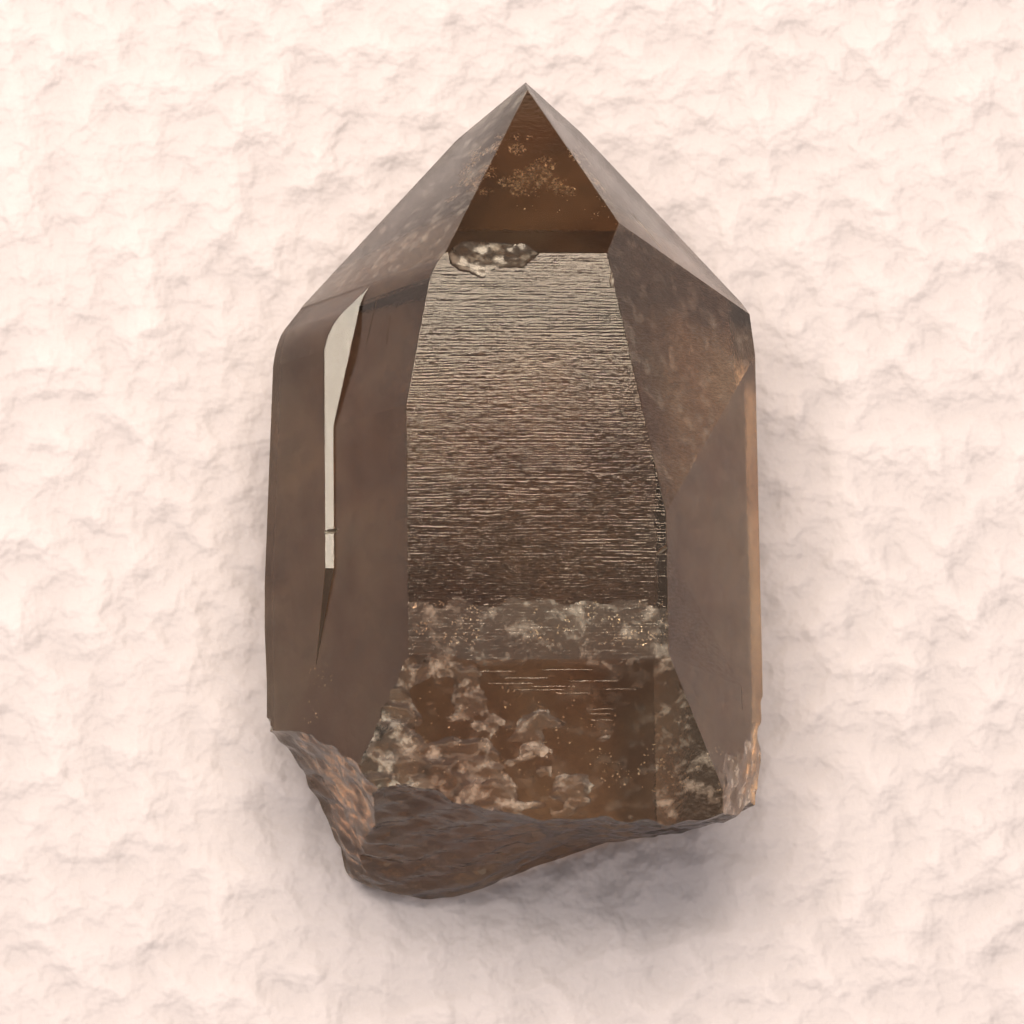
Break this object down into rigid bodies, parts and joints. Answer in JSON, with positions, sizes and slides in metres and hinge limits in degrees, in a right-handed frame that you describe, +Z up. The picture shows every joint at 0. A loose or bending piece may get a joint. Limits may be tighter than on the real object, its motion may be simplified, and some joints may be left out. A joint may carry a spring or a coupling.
{
  "type": "smoky quartz crystal",
  "caption": "Natural smoky quartz crystal: six-sided prism with one pointed end and a broken base, lying on a prism face.",
  "frame": {"origin": "centre of the bounding box in plan, on the plane that the crystal rests on", "axes": "+Y along the crystal's long axis towards its point, +Z up out of the striated front face, +X across it"},
  "size_m": [0.0374, 0.0616, 0.0283],
  "materials": {
    "smoky_quartz": "clear brown stone with glassy growth faces and a rough broken base"
  },
  "bodies": {
    "root": {"crystal": "smoky_quartz"}
  },
  "joints": []
}
